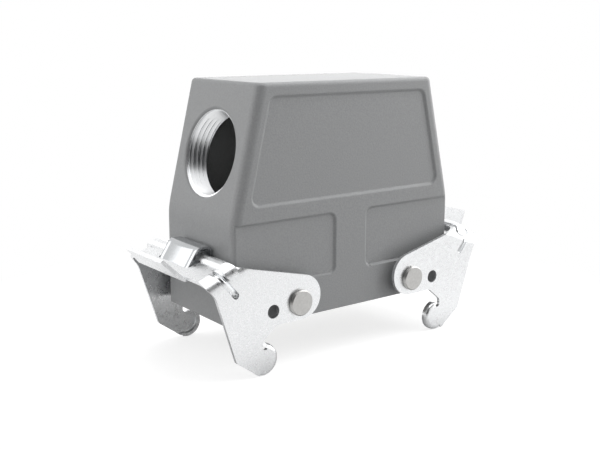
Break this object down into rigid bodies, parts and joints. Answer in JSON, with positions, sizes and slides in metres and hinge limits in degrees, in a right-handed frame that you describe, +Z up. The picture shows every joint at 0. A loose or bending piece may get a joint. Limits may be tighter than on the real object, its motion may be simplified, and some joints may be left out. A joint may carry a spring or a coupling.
{
  "type": "rectangular connector hood",
  "caption": "Heavy duty rectangular connector: tapered cast cable hood with a sloping side entry, hooked stamped end levers on pivot pins, and a contact insert with earth terminals inside.",
  "frame": {"origin": "middle of the footprint, on the surface that the four hook tips stand on with the levers open", "axes": "+Z up from the open rim to the closed top, X along the length with the cable entry at -X, Y across the width with the face seen in the picture at -Y"},
  "size_m": [0.134, 0.0538, 0.0918],
  "materials": {
    "coated_housing": "fine powder coat, satin",
    "plated_lever": "bright zinc plate, satin",
    "spring_steel": "smooth stainless strip",
    "pin_steel": "turned",
    "insert_plastic": "moulded, matte",
    "contact_plating": "silver plate",
    "screw_steel": "zinc plate"
  },
  "bodies": {
    "hood": {"hood_housing": "coated_housing", "insert_body": "insert_plastic", "contact_pins": "contact_plating", "terminal_screws": "screw_steel", "pivot_pin_front_left": "pin_steel", "pivot_pin_front_right": "pin_steel", "pivot_pin_back_left": "pin_steel", "pivot_pin_back_right": "pin_steel", "fixing_screw_front_left": "screw_steel", "fixing_screw_front_right": "screw_steel", "fixing_screw_back_left": "screw_steel", "fixing_screw_back_right": "screw_steel", "spring_washer_front_left": "screw_steel", "spring_washer_front_right": "screw_steel", "spring_washer_back_left": "screw_steel", "spring_washer_back_right": "screw_steel", "earth_plate_left": "spring_steel", "earth_plate_right": "spring_steel", "earth_screw_left": "screw_steel", "earth_screw_right": "screw_steel"},
    "left_lever": {"lever_left": "plated_lever", "locking_spring_left": "spring_steel"},
    "right_lever": {"lever_right": "plated_lever", "locking_spring_right": "spring_steel"}
  },
  "joints": [
    {"name": "left_lever_pivot", "type": "hinge", "parent": "hood", "child": "left_lever", "pos_m": [-0.0248, 0, 0.022], "axis": [0, -1, 0], "range_deg": [0, 45]},
    {"name": "right_lever_pivot", "type": "hinge", "parent": "hood", "child": "right_lever", "pos_m": [0.0248, 0, 0.022], "axis": [0, 1, 0], "range_deg": [0, 45]}
  ]
}
